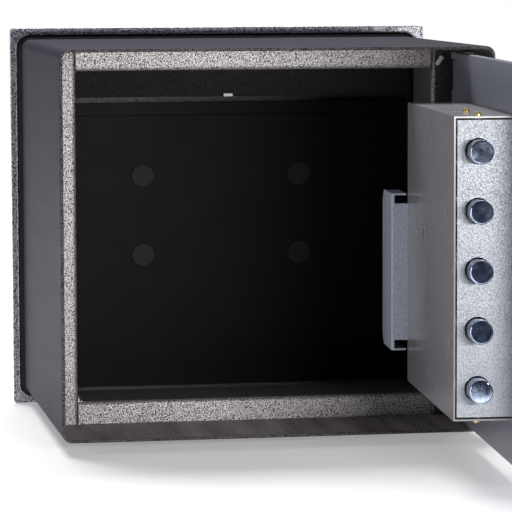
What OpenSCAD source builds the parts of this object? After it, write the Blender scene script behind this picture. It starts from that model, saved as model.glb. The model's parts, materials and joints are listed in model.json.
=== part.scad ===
// In-room safe with a recessed door, five round bolts and a rear anchor plate.
// Frame: origin at the centre of the rear plate's outer face, front towards -Y, +Z up, +X right.
// The door is drawn at rest standing open on its right-hand pivots; door_open turns it.
// Door pieces are laid out closed, by their place on the door:
//   u = distance from the hinge edge of the door plate, towards the lock edge
//   n = distance behind the inner face of the door plate, into the safe (negative is outside)

/* [Body] */
// Width of the body over its side walls
body_w = 400; // [340:5:520]
// Height of the body over its top and bottom
body_h = 355; // [330:5:460]
// Depth from the front lip to the outer face of the rear plate
body_d = 350; // [290:5:500]
// Thickness of the folded body sheet
wall = 3; // [2:0.5:5]
// Outer radius of the body's four long corners
corner_r = 9; // [6:1:16]
// Thickness of the rear anchor plate
rear_t = 5; // [3:0.5:10]
// How far the rear plate stands out past the body all round
rear_over = 11; // [7:1:25]
// Leg of the sealant bead between the body and the rear plate
seal_leg = 5; // [3:0.5:7]
// Diameter of the four anchor holes
anchor_d = 12; // [8:1:16]
// Anchor holes, centre to centre across
anchor_pitch_x = 160; // [100:10:240]
// Anchor holes, centre to centre up and down
anchor_pitch_z = 80; // [60:10:160]

/* [Door frame] */
// Depth of the recess from the front lip to the frame's strips
recess_d = 92; // [84:1:120]
// Width of the strip beside the bolts
strip_lock = 22; // [18:0.5:25]
// Width of the strip beside the hinges
strip_hinge = 35.5; // [30:0.5:45]
// Width of the top strip
strip_top = 20; // [12:0.5:30]
// Width of the bottom strip
strip_bottom = 21.5; // [12:0.5:30]
// Depth of the returns that line the opening
return_d = 78; // [74:1:90]
// Thickness of the frame's folded sheet
frame_t = 3; // [2:0.5:4]
// Outer radius of the frame's folds
fold_r = 4.5; // [4.2:0.1:6]
// Drop of the header panel below the ceiling
header_drop = 48; // [30:1:60]
// Thickness of the header panel
header_t = 2; // [1:0.5:3]

/* [Door] */
// Angle that the door stands open at rest
door_open = 86; // [80:1:92]
// Thickness of the door plate
door_t = 8; // [6:0.5:10]
// Gap from the door plate to the sides and bottom of the recess
door_gap = 3; // [2:0.5:5]
// Gap above the door plate
door_gap_top = 5; // [3:0.5:8]
// Gap from the closed door plate to the frame's strips
strip_gap = 4; // [3.5:0.5:6]
// Distance from the hinge edge of the plate to the pivot
pivot_in = 7; // [6.5:0.5:8]
// Distance from the plate's inner face forward to the pivot
pivot_front = 7.5; // [7:0.5:8]
// Diameter of the hinge pins
hinge_pin_d = 8; // [6:0.5:9]
// Outer diameter of the hinge knuckles
knuckle_d = 14; // [12:0.5:14]
// Length of each hinge knuckle
knuckle_h = 28; // [18:1:40]
// Thickness of the fixed hinge lugs
lug_t = 6; // [4:0.5:8]

/* [Bolt box] */
// Distance from the hinge edge of the plate to the bolt box
box_set = 82; // [78:1:90]
// Gap from the lock face to the edge of the doorway, with the door closed
lock_gap = 31; // [29:0.5:35]
// Height of the bolt box above the axis of its top bolt
box_above = 29; // [26:0.5:32]
// Depth of the bolt box below the axis of its bottom bolt
box_below = 27; // [26:0.5:32]
// Depth of the bolt box behind the door plate
box_t = 54; // [52:1:58]
// Thickness of the cover pan's sheet
pan_t = 1.5; // [1:0.25:2]
// Shadow gap between the cover pan and the frame inside it
pan_gap = 1.5; // [1:0.25:2]
// Thickness of the box frame's sheet
box_wall = 2.5; // [2:0.5:3]
// Thickness of the lock face plate
face_t = 3; // [2:0.5:4]
// How far the pan's rim stands proud of the lock face
rim_proud = 0.8; // [0.4:0.1:1.5]

/* [Boltwork] */
// Diameter of the locking bolts
bolt_d = 20; // [16:0.5:22]
// Bolts, centre to centre
bolt_pitch = 50; // [44:0.5:52]
// Height of the middle bolt above the body's centre
bolt_mid_z = -2.5; // [-5:0.5:3]
// Distance from the cover's outer face to the bolt axes
bolt_back = 20.5; // [18:0.5:22]
// How far the withdrawn bolts stand out of the lock face
bolt_proud = 21; // [10:1:22]
// Radial room around the bolts in the lock face and in the frame
bolt_room = 1; // [0.5:0.25:1.5]
// Radial running clearance of the bolts in their inner guide
guide_fit = 0.1; // [0.05:0.01:0.1]
// Radius of the drive pin on the cam
cam_r = 17; // [14:0.5:17]
// Diameter of the drive pin
drive_pin_d = 8; // [6:0.5:9]
// Diameter of the knob's spindle
spindle_d = 12; // [8:0.5:13]
// Travel of the solenoid's plunger
plunger_travel = 6; // [4:0.5:6.5]

/* [Dead bar] */
// Height of the hinge-side dead bar
bar_h = 145; // [80:1:160]
// How far the bar's centre lies below the middle bolt's axis
bar_drop = 26.5; // [-15:0.5:30]
// How far the bar stands behind the cover of the bolt box
bar_proud = 15; // [10:0.5:17]
// How far the bar reaches into the frame's hinge-side return
bar_engage = 8.5; // [6:0.5:12]
// Thickness of the bar's sheet
bar_t = 3; // [2:0.5:4]

/* [Controls] */
// Width of the keypad housing
pad_w = 130; // [122:1:150]
// Height of the keypad housing
pad_h = 120; // [116:1:130]
// Thickness of the keypad housing
pad_t = 16; // [14:0.5:20]
// Width of a key
key_w = 20; // [14:0.5:22]
// Height of a key
key_h = 14; // [10:0.5:16]
// Travel of a key
key_travel = 1.5; // [0.8:0.1:2]
// Diameter of the turn knob
knob_d = 50; // [36:1:52]
// Diameter of the emergency lock's turning plug
plug_d = 13; // [10:0.5:14]

/* [Hidden] */
$fn = 64;
BOLTS = 5;
KEYS = ["key_1", "key_2", "key_3", "key_clear", "key_4", "key_5", "key_6", "key_0",
        "key_7", "key_8", "key_9", "key_enter"];
KEY_COLS = 4;
KEY_ROWS = 3;

// The inside of the body, and the planes that the door closes against
in_x = body_w / 2 - wall;
in_z = body_h / 2 - wall;
front_y = -body_d;
strip_y = front_y + recess_d;
return_y = strip_y + return_d;
open_x0 = -in_x + strip_lock;
open_x1 = in_x - strip_hinge;
cut = 1;

// The door plate, closed
plate_x1 = in_x - door_gap;
plate_w = 2 * plate_x1;
plate_y = strip_y - strip_gap;
plate_z0 = -in_z + door_gap;
plate_z1 = in_z - door_gap_top;
hinge_x = plate_x1 - pivot_in;
hinge_y = plate_y - pivot_front;

// Hinges: lug, a small gap or washer, then the knuckle in the plate's notch
lug_gap = 1;
lug_reach = 9;
washer_t = 0.8;
pin_fit = 0.05;
notch_u = 20;
upper_lug_z = plate_z1 - lug_t;
upper_knuckle_z = upper_lug_z - lug_gap - knuckle_h;
lower_lug_rise = 4.5;
lower_lug_z = plate_z0 + lower_lug_rise;
lower_knuckle_z = lower_lug_z + lug_t + lug_gap;
pin_short = 2;
header_end_gap = 4;

// The bolt box ends short of the doorway, and reaches past its top and bottom bolts
lock_u = plate_x1 - open_x0 - lock_gap;
box_z0 = bolt_z(BOLTS - 1) - box_below;
box_z1 = bolt_z(0) + box_above;
pan_flange_n = 3;
pan_in_n = box_t - pan_t;
shell_in = pan_t + pan_gap;
frame_u0 = box_set + shell_in;
frame_n1 = pan_in_n - pan_gap;
frame_z0 = box_z0 + shell_in;
frame_z1 = box_z1 - shell_in;

// Boltwork: the drive pin swings 45 degrees each side of upright and throws the bolts
swing = 45;
bolt_throw = 2 * cam_r * sin(swing);
bolt_n = box_t - bolt_back;
bolt_tip_u = lock_u + bolt_proud;
bolt_chamfer = 1;
carrier_t = 4;
carrier_u = lock_u - 76;
carrier_n0 = 17;
carrier_n1 = bolt_n + 12.5;
carrier_over = 16;
arm_t = 3;
stud_d = 8;
stud_fit = 0.05;
nut_across = 13;
nut_t = 6.5;
guide_u = lock_u - 38;
guide_t = 3;
guide_n0 = 4;
spindle_u = carrier_u - 40;
spindle_z = -60;
spindle_fit = 0.05;
slot_play = 1;
cam_n0 = 9;
cam_t = 5;
cam_disc_r = cam_r + 6;
cam_bore = 3;
drive_pin_n1 = 22;
plunger_d = 8;
plunger_u = carrier_u - 22;
plunger_n = carrier_n0 + arm_t / 2;
arm_below = 14;
arm_above = 11;
arm_z0 = spindle_z - arm_below;
arm_z1 = spindle_z + cam_r + drive_pin_d / 2 + arm_above;
arm_u0 = spindle_u - 24;
notch_d = plunger_travel + 1;
plunger_clear = 2;
plunger_z = arm_z1 + plunger_clear;
ring_t = 1.5;
ring_clear = 0.5;
ring_z = arm_z1 + plunger_travel + ring_clear;
spring_h = 9;
solenoid_z0 = ring_z + ring_t + spring_h;
solenoid_w = 24;
solenoid_n0 = 8;
solenoid_n1 = 29;
solenoid_h = 38;
plunger_len = 40;

// Dead bar on the hinge side of the bolt box
bar_n1 = box_t + bar_proud;
bar_mid_z = bolt_mid_z - bar_drop;
bar_u0 = plate_x1 - open_x1 - bar_engage;
bar_foot_n = 8;
bar_relief = 9.5;
bar_flange_in = 16;
bar_flange_t = 2;
bar_chamfer = 6;
bar_slot_room = 1;
bar_slot_swing = 5;

// Controls on the outside of the plate
pad_shift = 4;
pad_u = plate_w / 2 - pad_shift;
pad_z = 60;
pad_r = 8;
key_pitch_x = 26;
key_pitch_z = 20;
key_rows_z = 32;
key_proud = 2.5;
key_body = 7;
key_room = 0.4;
key_r = 2.5;
window_w = 92;
window_h = 26;
window_t = 2;
window_z = 98;
knob_base = 10;
knob_grip = 16;
knob_gap = 0.6;
collar_t = 4;
bush_wall = 2;
bush_inner = 2;
grip_w = 12;
grip_r = 5.9;
grip_in = 3;
collar_d = knob_d + 10;
key_offset = 47;
key_u = spindle_u - key_offset;
key_slot_w = 2;
key_slot_below = 3.5;
key_slot_above = 4.5;
plug_tail = 2;
lock_body_d = 19;
lock_flange_d = 26;
lock_flange_t = 3;
lock_inner = 22;
cable_hole_d = 10;

// Small inner pieces
board_u = 100;
board_w = 90;
board_z = 15;
board_h = 90;
board_n = 10;
board_t = 1.6;
standoff_in = 5;
cell_d = 14.5;
cell_l = 50.5;
cell_pitch = 15.5;
cell_rest = 1.6;
cell_tip_h = 1.2;
cell_tip_d = 5.5;
cell_count = 4;
tray_u = 92;
tray_wall = 2;
tray_z = -115;
tray_n1 = 13;
screw_us = [lock_u - 10, lock_u - 68];
screw_n = 32;
screw_head_d = 6;
screw_head_t = 3;
screw_d = 3.5;
screw_pad_d = 12;
plug_u = 168;
plug_z = 11.5;
plug_cap_d = 22;
plug_body_d = 19;
spring_wire = 0.9;
spring_r = 5.6;
spring_turns = 6;
spring_sides = 6;
spring_steps = 10;

// Lining, lamp and mat
liner_t = 2;
batten_t = 7;
batten_w = 4;
liner_y = -rear_t - batten_t - liner_t;
liner_top_z = in_z - header_drop - 13;
liner_lip = 13.5;
liner_fold_z = liner_top_z - liner_lip + 0.5;
liner_hole_d = anchor_d + 6;
cap_t = 1.5;
cap_rim = 2.5;
cap_fit = 0.05;
lamp_x = -20;
lamp_w = 9;
lamp_t = 3;
mat_gap = 4;
mat_t = 3;

// ---------------------------------------------------------------- helpers

// Flat rectangle with round corners, centred
module rounded_rect(w, h, r) {
    square([w - 2 * r, h], center = true);
    square([w, h - 2 * r], center = true);
    for (sx = [-1, 1], sz = [-1, 1])
        translate([sx * (w / 2 - r), sz * (h / 2 - r)]) circle(r);
}

// A flat outline in X and Z, pushed from y0 back to y1
module push_y(y0, y1) {
    translate([0, y1, 0]) rotate([90, 0, 0]) linear_extrude(y1 - y0) children();
}

// Everything inside the body sheet
module inside_body() {
    push_y(front_y - cut, cut) rounded_rect(2 * in_x, 2 * in_z, corner_r - wall);
}

// Folded angle: a strip along x, then a return along y, with a round outer corner
module angle_section(strip) {
    square([strip - fold_r, frame_t]);
    translate([strip - frame_t, fold_r]) square([frame_t, return_d - fold_r]);
    translate([strip - fold_r, fold_r]) intersection() {
        difference() {
            circle(fold_r);
            circle(fold_r - frame_t);
        }
        translate([0, -fold_r]) square([fold_r, fold_r]);
    }
}

// Turns the closed door to where it stands at rest
module on_door() {
    translate([hinge_x, hinge_y, 0]) rotate([0, 0, door_open]) translate([-hinge_x, -hinge_y, 0])
        children();
}

// A block on the door, between two places along, behind and up
module slab(u0, u1, n0, n1, z0, z1) {
    translate([plate_x1 - u1, plate_y + n0, z0]) cube([u1 - u0, n1 - n0, z1 - z0]);
}

// A rod on the door that lies along the plate
module rod_u(u0, u1, n, z, d) {
    translate([plate_x1 - u1, plate_y + n, z]) rotate([0, 90, 0]) cylinder(h = u1 - u0, d = d);
}

// A rod on the door that stands square to the plate
module rod_n(u, n0, n1, z, d) {
    translate([plate_x1 - u, plate_y + n0, z]) rotate([-90, 0, 0]) cylinder(h = n1 - n0, d = d);
}

// A rod on the door that stands upright
module rod_z(u, n, z0, z1, d) {
    translate([plate_x1 - u, plate_y + n, z0]) cylinder(h = z1 - z0, d = d);
}

// A plate on the door with round corners, centred at u and z
module tile(u, z, w, h, r, n0, n1) {
    translate([plate_x1 - u, 0, z]) push_y(plate_y + n0, plate_y + n1) rounded_rect(w, h, r);
}

function bolt_z(i) = bolt_mid_z + (BOLTS - 1) / 2 * bolt_pitch - i * bolt_pitch;

function key_u_at(i) = pad_u + ((KEY_COLS - 1) / 2 - (i % KEY_COLS)) * key_pitch_x;

function key_z_at(i) = key_rows_z + ((KEY_ROWS - 1) / 2 - floor(i / KEY_COLS)) * key_pitch_z;

// ---------------------------------------------------------------- body

module body_shell() {
    color("#827d88")
    difference() {
        push_y(front_y, -rear_t) rounded_rect(body_w, body_h, corner_r);
        inside_body();
    }
}

module anchor_pattern(d) {
    for (sx = [-1, 1], sz = [-1, 1])
        translate([sx * anchor_pitch_x / 2, 0, sz * anchor_pitch_z / 2]) rotate([90, 0, 0])
            cylinder(h = 80, d = d, center = true);
}

module rear_plate() {
    color("#a9a5ae")
    difference() {
        push_y(-rear_t, 0) rounded_rect(body_w + 2 * rear_over, body_h + 2 * rear_over, 3);
        anchor_pattern(anchor_d);
    }
}

// Three-cornered bead, swept along the four sides and round the four corners
module rear_seal() {
    side_x = body_w - 2 * corner_r;
    side_z = body_h - 2 * corner_r;
    color("#2b282d")
    translate([0, -rear_t, 0]) rotate([90, 0, 0]) {
        for (s = [0, 180]) rotate([0, 0, s]) {
            translate([body_w / 2, side_z / 2, 0]) rotate([90, 0, 0])
                linear_extrude(side_z) polygon([[0, 0], [seal_leg, 0], [0, seal_leg]]);
            translate([-side_x / 2, body_h / 2, 0]) rotate([90, 0, 90])
                linear_extrude(side_x) polygon([[0, 0], [seal_leg, 0], [0, seal_leg]]);
        }
        for (i = [0:3]) {
            sx = (i == 0 || i == 3) ? 1 : -1;
            sz = (i < 2) ? 1 : -1;
            translate([sx * side_x / 2, sz * side_z / 2, 0]) rotate([0, 0, i * 90])
                rotate_extrude(angle = 90)
                    translate([corner_r, 0]) polygon([[0, 0], [seal_leg, 0], [0, seal_leg]]);
        }
    }
}

module frame_lock_side() {
    color("#d6d0d3")
    difference() {
        intersection() {
            translate([-in_x, strip_y, -in_z]) linear_extrude(2 * in_z) angle_section(strip_lock);
            inside_body();
        }
        for (i = [0:BOLTS - 1])
            translate([open_x0 - frame_t - cut, plate_y + bolt_n, bolt_z(i)]) rotate([0, 90, 0])
                cylinder(h = frame_t + 2 * cut, d = bolt_d + 2 * bolt_room);
    }
}

module frame_hinge_side() {
    color("#8f8b90")
    difference() {
        intersection() {
            mirror([1, 0, 0]) translate([-in_x, strip_y, -in_z])
                linear_extrude(2 * in_z) angle_section(strip_hinge);
            inside_body();
        }
        translate([open_x1 - cut, plate_y + bar_n1 - bar_t - bar_slot_swing,
                   bar_mid_z - bar_h / 2 - bar_slot_room])
            cube([frame_t + 2 * cut, bar_t + bar_slot_swing + bar_slot_room, bar_h + 2 * bar_slot_room]);
    }
}

// The top and bottom strips run between the two side members
module frame_cross(strip) {
    intersection() {
        translate([open_x0, strip_y, -in_z]) rotate([90, 0, 90])
            linear_extrude(open_x1 - open_x0) rotate([0, 0, 90]) mirror([0, 1, 0]) angle_section(strip);
        inside_body();
    }
}

module frame_bottom() {
    color("#d6d0d3") frame_cross(strip_bottom);
}

module frame_top() {
    color("#d6d0d3") mirror([0, 0, 1]) frame_cross(strip_top);
}

module header_panel() {
    color("#3b3a40")
    intersection() {
        translate([-in_x, return_y, in_z - header_drop])
            cube([in_x + open_x1 - header_end_gap, header_t, header_drop]);
        inside_body();
    }
}

module interior_lamp() {
    color("white")
    translate([lamp_x - lamp_w / 2, return_y - lamp_t, in_z - header_drop]) cube([lamp_w, lamp_t, lamp_t]);
}

// Lining sheet on two upright battens, with a joggled top edge
module rear_liner() {
    side_x = in_x - corner_r;
    color("#25252a")
    difference() {
        union() {
            translate([-side_x, liner_y, -in_z]) cube([2 * side_x, liner_t, liner_fold_z + in_z]);
            translate([-side_x, liner_y + liner_t, liner_top_z - liner_lip])
                cube([2 * side_x, liner_t, liner_lip]);
            for (sx = [-1, 1])
                translate([sx * (side_x - batten_w) - batten_w / 2, liner_y + liner_t, -in_z])
                    cube([batten_w, batten_t, liner_fold_z + in_z]);
        }
        anchor_pattern(liner_hole_d);
    }
}

// Snap-in caps that close the liner's holes until the safe is anchored
module hole_covers() {
    color("#1b1b1e")
    for (sx = [-1, 1], sz = [-1, 1])
        translate([sx * anchor_pitch_x / 2, liner_y, sz * anchor_pitch_z / 2]) rotate([90, 0, 0]) {
            cylinder(h = cap_t, d = liner_hole_d + 2 * cap_rim);
            translate([0, 0, -liner_t]) difference() {
                cylinder(h = liner_t, d = liner_hole_d - 2 * cap_fit);
                translate([0, 0, -cut])
                    cylinder(h = liner_t + cut, d = liner_hole_d - 2 * cap_fit - 2 * cap_t);
            }
        }
}

module floor_mat() {
    color("#3a3a3d")
    translate([-in_x + corner_r, return_y + mat_gap, -in_z])
        cube([2 * (in_x - corner_r), liner_y - mat_gap / 2 - return_y - mat_gap, mat_t]);
}

// ---------------------------------------------------------------- hinges

module hinge_lug(z) {
    color("#8f8b90")
    difference() {
        intersection() {
            translate([0, 0, z]) union() {
                translate([hinge_x, hinge_y, 0]) cylinder(h = lug_t, r = lug_reach);
                translate([hinge_x, hinge_y - lug_reach, 0]) cube([in_x - hinge_x, lug_reach * 2, lug_t]);
                translate([hinge_x - 2, hinge_y, 0]) cube([in_x - hinge_x + 2, strip_y - hinge_y, lug_t]);
            }
            inside_body();
        }
        translate([hinge_x, hinge_y, z - cut]) cylinder(h = lug_t + 2 * cut, d = hinge_pin_d);
    }
}

module hinge_lug_upper() {
    hinge_lug(upper_lug_z);
}

module hinge_lug_lower() {
    hinge_lug(lower_lug_z);
}

// One pin hangs from the upper lug and one stands on the lower lug
module hinge_pins() {
    color("#c8c8cc") {
        translate([hinge_x, hinge_y, upper_knuckle_z + pin_short])
            cylinder(h = knuckle_h + lug_gap + lug_t - pin_short, d = hinge_pin_d);
        translate([hinge_x, hinge_y, lower_lug_z])
            cylinder(h = knuckle_h + lug_gap + lug_t - pin_short, d = hinge_pin_d);
    }
}

module hinge_washer() {
    color("#c9a03a")
    translate([hinge_x, hinge_y, lower_lug_z + lug_t]) difference() {
        cylinder(h = washer_t, d = knuckle_d - 1);
        translate([0, 0, -cut]) cylinder(h = washer_t + 2 * cut, d = hinge_pin_d);
    }
}

module hinge_knuckle(z) {
    color("#8a8c96")
    on_door() difference() {
        translate([0, 0, z]) union() {
            translate([hinge_x, hinge_y, 0]) cylinder(h = knuckle_h, d = knuckle_d);
            translate([plate_x1 - notch_u, hinge_y - knuckle_d / 2, 0])
                cube([notch_u - pivot_in, pivot_front + knuckle_d / 2, knuckle_h]);
        }
        translate([hinge_x, hinge_y, z - cut])
            cylinder(h = knuckle_h + 2 * cut, d = hinge_pin_d + 2 * pin_fit);
    }
}

module hinge_knuckle_upper() {
    hinge_knuckle(upper_knuckle_z);
}

module hinge_knuckle_lower() {
    hinge_knuckle(lower_knuckle_z);
}

// ---------------------------------------------------------------- door shell

module door_plate() {
    color("#8a8c96")
    on_door() difference() {
        slab(0, plate_w, -door_t, 0, plate_z0, plate_z1);
        slab(-cut, notch_u, -door_t - cut, cut, upper_knuckle_z, plate_z1 + cut);
        slab(-cut, notch_u, -door_t - cut, cut, plate_z0 - cut, lower_knuckle_z + knuckle_h);
        rod_n(spindle_u, -door_t - cut, cut, spindle_z, spindle_d + 4);
        rod_n(key_u, -door_t - cut, cut, spindle_z, lock_body_d);
        rod_n(pad_u, -door_t - cut, cut, key_rows_z - 10, cable_hole_d);
    }
}

// Top, bottom and hinge-side walls of the bolt box, folded from one strip
module box_frame() {
    color("#7d7f88")
    on_door() difference() {
        union() {
            difference() {
                slab(frame_u0, lock_u - face_t, 0, frame_n1, frame_z0, frame_z1);
                slab(frame_u0 + box_wall, lock_u, -cut, frame_n1 + cut,
                     frame_z0 + box_wall, frame_z1 - box_wall);
            }
            for (u = screw_us) {
                rod_z(u, screw_n, frame_z1 - box_wall, frame_z1 + pan_gap, screw_pad_d);
                rod_z(u, screw_n, frame_z0 - pan_gap, frame_z0 + box_wall, screw_pad_d);
            }
        }
        for (u = screw_us)
            rod_z(u, screw_n, box_z0 - cut, box_z1 + cut, screw_d);
    }
}

module lock_face() {
    color("#cfd1d8")
    on_door() difference() {
        slab(lock_u - face_t, lock_u, 0, frame_n1, frame_z0, frame_z1);
        for (i = [0:BOLTS - 1])
            rod_u(lock_u - face_t - cut, lock_u + cut, bolt_n, bolt_z(i), bolt_d + 2 * bolt_room);
    }
}

module cover_pan() {
    color("#8a8c96")
    on_door() difference() {
        slab(box_set, lock_u + rim_proud, pan_flange_n, box_t, box_z0, box_z1);
        slab(box_set + pan_t, lock_u + rim_proud + cut, pan_flange_n - cut, pan_in_n,
             box_z0 + pan_t, box_z1 - pan_t);
        for (u = screw_us)
            rod_z(u, screw_n, box_z0 - cut, box_z1 + cut, screw_d);
        rod_n(plug_u, pan_in_n - cut, box_t + cut, plug_z, plug_body_d);
    }
}

// Pan-head screws through the pan's top and bottom flanges
module cover_screw() {
    grip = shell_in + box_wall + 1;
    translate([0, 0, -grip]) cylinder(h = grip, d = screw_d);
    difference() {
        union() {
            cylinder(h = screw_head_t * 0.5, d = screw_head_d);
            translate([0, 0, screw_head_t * 0.5])
                cylinder(h = screw_head_t * 0.5, d1 = screw_head_d, d2 = screw_head_d * 0.72);
        }
        translate([-screw_head_d, -0.5, screw_head_t - 1]) cube([2 * screw_head_d, 1, 2]);
    }
}

module cover_screws() {
    color("#c9a03a")
    on_door() for (u = screw_us) {
        translate([plate_x1 - u, plate_y + screw_n, box_z1]) cover_screw();
        translate([plate_x1 - u, plate_y + screw_n, box_z0]) mirror([0, 0, 1]) cover_screw();
    }
}

module service_plug() {
    color("#6f717a")
    on_door() {
        rod_n(plug_u, box_t, box_t + 1, plug_z, plug_cap_d);
        rod_n(plug_u, box_t - 3.5, box_t, plug_z, plug_body_d);
    }
}

// Folded bar that hooks behind the frame on the hinge side
module dead_bar() {
    z0 = bar_mid_z - bar_h / 2;
    z1 = bar_mid_z + bar_h / 2;
    n_back = bar_n1 - bar_t;
    color("#a4a8b4")
    on_door() difference() {
        union() {
            slab(bar_u0, box_set, n_back, bar_n1, z0, z1);
            slab(box_set - bar_t, box_set, bar_foot_n, bar_n1, z0 + bar_relief, z1 - bar_relief);
            for (z = [z0, z1 - bar_flange_t])
                slab(bar_u0 + bar_flange_in, box_set, box_t + 1, n_back, z, z + bar_flange_t);
        }
        for (s = [-1, 1])
            translate([plate_x1 - bar_u0, 0, bar_mid_z + s * bar_h / 2]) rotate([0, 45, 0])
                translate([-bar_chamfer, plate_y + n_back - cut, -bar_chamfer])
                    cube([2 * bar_chamfer, bar_t + 2 * cut, 2 * bar_chamfer]);
    }
}

// ---------------------------------------------------------------- inside the bolt box

module bolt_guide() {
    color("#9a9ca3")
    on_door() difference() {
        slab(guide_u, guide_u + guide_t, guide_n0, frame_n1, frame_z0 + box_wall, frame_z1 - box_wall);
        for (i = [0:BOLTS - 1])
            rod_u(guide_u - cut, guide_u + guide_t + cut, bolt_n, bolt_z(i), bolt_d + 2 * guide_fit);
    }
}

module bolt_carrier() {
    z0 = bolt_z(BOLTS - 1) - carrier_over;
    z1 = bolt_z(0) + carrier_over;
    slot_u = spindle_u - bolt_throw / 2;
    slot_w = drive_pin_d + 2 * slot_play;
    color("#9a9ca3")
    on_door() difference() {
        union() {
            slab(carrier_u, carrier_u + carrier_t, carrier_n0, carrier_n1, z0, z1);
            slab(arm_u0, carrier_u + carrier_t, carrier_n0, carrier_n0 + arm_t, arm_z0, arm_z1);
        }
        for (i = [0:BOLTS - 1])
            rod_u(carrier_u - cut, carrier_u + carrier_t + cut, bolt_n, bolt_z(i), stud_d + 2 * stud_fit);
        slab(slot_u - slot_w / 2, slot_u + slot_w / 2, carrier_n0 - cut, carrier_n0 + arm_t + cut,
             spindle_z + cam_r * cos(swing) - slot_w / 2, spindle_z + cam_r + slot_w / 2);
        for (u = [plunger_u, plunger_u - bolt_throw])
            slab(u - plunger_d / 2 - 1, u + plunger_d / 2 + 1, carrier_n0 - cut, carrier_n0 + arm_t + cut,
                 arm_z1 - notch_d, arm_z1 + cut);
    }
}

// A round bolt with a chamfered nose and a threaded tail
module bolt(i) {
    nose_u = bolt_tip_u - bolt_chamfer;
    color("#d8dbe2")
    on_door() {
        rod_u(carrier_u + carrier_t, nose_u, bolt_n, bolt_z(i), bolt_d);
        translate([plate_x1 - nose_u, plate_y + bolt_n, bolt_z(i)]) rotate([0, -90, 0])
            cylinder(h = bolt_chamfer, d1 = bolt_d, d2 = bolt_d - 2 * bolt_chamfer);
        rod_u(carrier_u - nut_t - 2, carrier_u + carrier_t, bolt_n, bolt_z(i), stud_d);
    }
}

module carrier_nuts() {
    color("#b9bbc2")
    on_door() for (i = [0:BOLTS - 1])
        translate([plate_x1 - carrier_u, plate_y + bolt_n, bolt_z(i)]) rotate([0, 90, 0])
            difference() {
                cylinder(h = nut_t, d = nut_across / cos(30), $fn = 6);
                translate([0, 0, -cut]) cylinder(h = nut_t + 2 * cut, d = stud_d);
            }
}

module solenoid_body() {
    color("#5a5c62")
    on_door() difference() {
        slab(plunger_u - solenoid_w / 2, plunger_u + solenoid_w / 2, solenoid_n0, solenoid_n1,
             solenoid_z0, solenoid_z0 + solenoid_h);
        rod_z(plunger_u, plunger_n, solenoid_z0 - cut, plunger_z + plunger_len + 1, plunger_d + 0.2);
    }
}

module solenoid_plunger() {
    color("#d8dbe2")
    on_door() {
        rod_z(plunger_u, plunger_n, plunger_z, plunger_z + plunger_len, plunger_d);
        rod_z(plunger_u, plunger_n, ring_z, ring_z + ring_t, plunger_d + 4);
    }
}

// Points of one ring of the spring's wire, at step i along the coil
function spring_ring(i, h) = [
    for (k = [0:spring_sides - 1])
        let (a = i * 360 / spring_steps, b = k * 360 / spring_sides,
             r = spring_r + spring_wire / 2 * cos(b))
            [r * cos(a), r * sin(a), h * i / (spring_turns * spring_steps) + spring_wire / 2 * sin(b)]
];

module plunger_spring() {
    z0 = ring_z + ring_t + spring_wire / 2;
    h = spring_h - spring_wire;
    last = spring_turns * spring_steps;
    points = [for (i = [0:last]) for (p = spring_ring(i, h)) p];
    sides = [
        for (i = [0:last - 1], k = [0:spring_sides - 1])
            let (a = i * spring_sides + k, b = i * spring_sides + (k + 1) % spring_sides)
                [a, a + spring_sides, b + spring_sides, b]
    ];
    ends = [
        [for (k = [0:spring_sides - 1]) k],
        [for (k = [spring_sides - 1:-1:0]) last * spring_sides + k]
    ];
    color("#b9bbc2")
    on_door() translate([plate_x1 - plunger_u, plate_y + plunger_n, z0])
        polyhedron(points = points, faces = concat(sides, ends), convexity = 10);
}

// A part soldered to the board, placed from the board's corner
module chip(u, z, w, h, t) {
    slab(board_u + u, board_u + u + w, board_n + board_t, board_n + board_t + t,
         board_z + z, board_z + z + h);
}

module control_board() {
    color("#2f6b3c")
    on_door() {
        slab(board_u, board_u + board_w, board_n, board_n + board_t, board_z, board_z + board_h);
        chip(20, 50, 14, 14, 2);
        chip(50, 20, 8, 12, 2);
        chip(66, 70, 18, 6, 6);
    }
}

module board_standoffs() {
    color("#c9a03a")
    on_door() for (u = [board_u + standoff_in, board_u + board_w - standoff_in],
                       z = [board_z + standoff_in, board_z + board_h - standoff_in])
        rod_n(u, 0, board_n, z, 6);
}

module battery_tray() {
    tray_w = cell_count * cell_pitch + 2 * tray_wall;
    tray_h = cell_l + 1.5 + 2 * tray_wall;
    color("#303034")
    on_door() difference() {
        slab(tray_u, tray_u + tray_w, 0, tray_n1, tray_z, tray_z + tray_h);
        slab(tray_u + tray_wall, tray_u + tray_w - tray_wall, 1.5, tray_n1 + cut,
             tray_z + tray_wall, tray_z + tray_h - tray_wall);
    }
}

module batteries() {
    color("#50565e")
    on_door() for (i = [0:cell_count - 1]) {
        u = tray_u + tray_wall + (i + 0.5) * cell_pitch;
        cell_n = cell_rest + cell_d / 2;
        cell_top = tray_z + tray_wall + cell_l;
        rod_z(u, cell_n, tray_z + tray_wall, cell_top, cell_d);
        rod_z(u, cell_n, cell_top, cell_top + cell_tip_h, cell_tip_d);
    }
}

// ---------------------------------------------------------------- knob drive

module spindle_bush() {
    color("#c9a03a")
    on_door() difference() {
        union() {
            rod_n(spindle_u, -door_t, bush_inner, spindle_z, spindle_d + 2 * bush_wall);
            rod_n(spindle_u, -door_t - collar_t, -door_t, spindle_z, collar_d);
        }
        rod_n(spindle_u, -door_t - collar_t - cut, bush_inner + cut, spindle_z,
              spindle_d + 2 * spindle_fit);
    }
}

module drive_spindle() {
    color("#b9bbc2")
    on_door() rod_n(spindle_u, -door_t - collar_t - knob_base, cam_n0 + cam_bore, spindle_z, spindle_d);
}

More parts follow.
